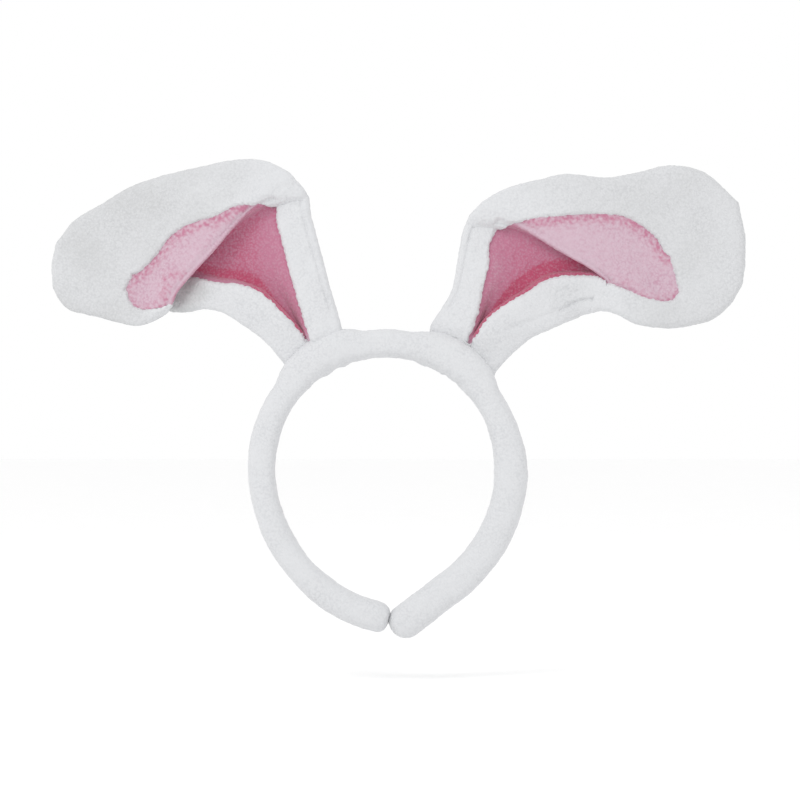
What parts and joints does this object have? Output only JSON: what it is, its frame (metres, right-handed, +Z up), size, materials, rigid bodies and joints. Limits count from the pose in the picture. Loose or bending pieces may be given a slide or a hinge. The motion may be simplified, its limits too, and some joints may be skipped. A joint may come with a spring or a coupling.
{
  "type": "animal ears headband",
  "caption": "Padded white fleece headband with wired, bendable rabbit ears that have pink fleece inner panels.",
  "frame": {"origin": "centre of the arc of the band's crown, on the band's middle plane", "axes": "+X to the right as seen from the front, +Y to the back, -Y to the front, +Z up through the top of the crown"},
  "size_m": [0.3468, 0.024, 0.239],
  "materials": {
    "white_fleece": "matte",
    "pink_fleece": "matte",
    "foam": "matte",
    "wadding": "matte",
    "thread": "matte",
    "core_plastic": "satin",
    "tape": "matte",
    "wire": "satin"
  },
  "bodies": {
    "crown": {"core_crown": "core_plastic", "inner_pad_crown": "foam", "outer_pad_crown": "foam", "sleeve_crown": "white_fleece", "seam_thread_crown": "thread", "ear_hem_left": "white_fleece", "ear_hem_right": "white_fleece", "wire_tape_left": "tape", "wire_tape_right": "tape", "wire_feet_left": "wire", "wire_feet_right": "wire", "ear_stitches_left": "thread", "ear_stitches_right": "thread"},
    "left_arm": {"core_left": "core_plastic", "inner_pad_left": "foam", "outer_pad_left": "foam", "sleeve_left": "white_fleece", "seam_thread_left": "thread"},
    "right_arm": {"core_right": "core_plastic", "inner_pad_right": "foam", "outer_pad_right": "foam", "sleeve_right": "white_fleece", "seam_thread_right": "thread"},
    "left_ear_base": {"back_panel_base_left": "white_fleece", "front_border_base_left": "white_fleece", "inner_panel_base_left": "pink_fleece", "wadding_base_left": "wadding", "wire_base_left": "wire"},
    "left_ear_tip": {"back_panel_tip_left": "white_fleece", "front_border_tip_left": "white_fleece", "inner_panel_tip_left": "pink_fleece", "wadding_tip_left": "wadding", "wire_tip_left": "wire"},
    "right_ear_base": {"back_panel_base_right": "white_fleece", "front_border_base_right": "white_fleece", "inner_panel_base_right": "pink_fleece", "wadding_base_right": "wadding", "wire_base_right": "wire"},
    "right_ear_tip": {"back_panel_tip_right": "white_fleece", "front_border_tip_right": "white_fleece", "inner_panel_tip_right": "pink_fleece", "wadding_tip_right": "wadding", "wire_tip_right": "wire"}
  },
  "joints": [
    {"name": "left_arm_spring", "type": "hinge", "parent": "crown", "child": "left_arm", "pos_m": [-0.05641, 0, 0.02512], "axis": [0, 1, 0], "range_deg": [0, 25], "stiffness_Nm_per_rad": 0.45, "springref_deg": -1.72},
    {"name": "right_arm_spring", "type": "hinge", "parent": "crown", "child": "right_arm", "pos_m": [0.05641, 0, 0.02512], "axis": [0, -1, 0], "range_deg": [0, 25], "stiffness_Nm_per_rad": 0.45, "springref_deg": -1.72},
    {"name": "left_ear_lean", "type": "hinge", "parent": "crown", "child": "left_ear_base", "pos_m": [-0.03811, 0, 0.06343], "axis": [0.8572, 0, 0.515], "range_deg": [-30, 30]},
    {"name": "left_ear_bend", "type": "hinge", "parent": "left_ear_base", "child": "left_ear_tip", "pos_m": [-0.04661, 0, 0.13943], "axis": [0, 1, 0], "range_deg": [-15, 60]},
    {"name": "right_ear_lean", "type": "hinge", "parent": "crown", "child": "right_ear_base", "pos_m": [0.04074, 0, 0.06178], "axis": [0.8348, 0, -0.5505], "range_deg": [-30, 30]},
    {"name": "right_ear_bend", "type": "hinge", "parent": "right_ear_base", "child": "right_ear_tip", "pos_m": [0.04574, 0, 0.12878], "axis": [0, -1, 0], "range_deg": [-15, 60]}
  ]
}
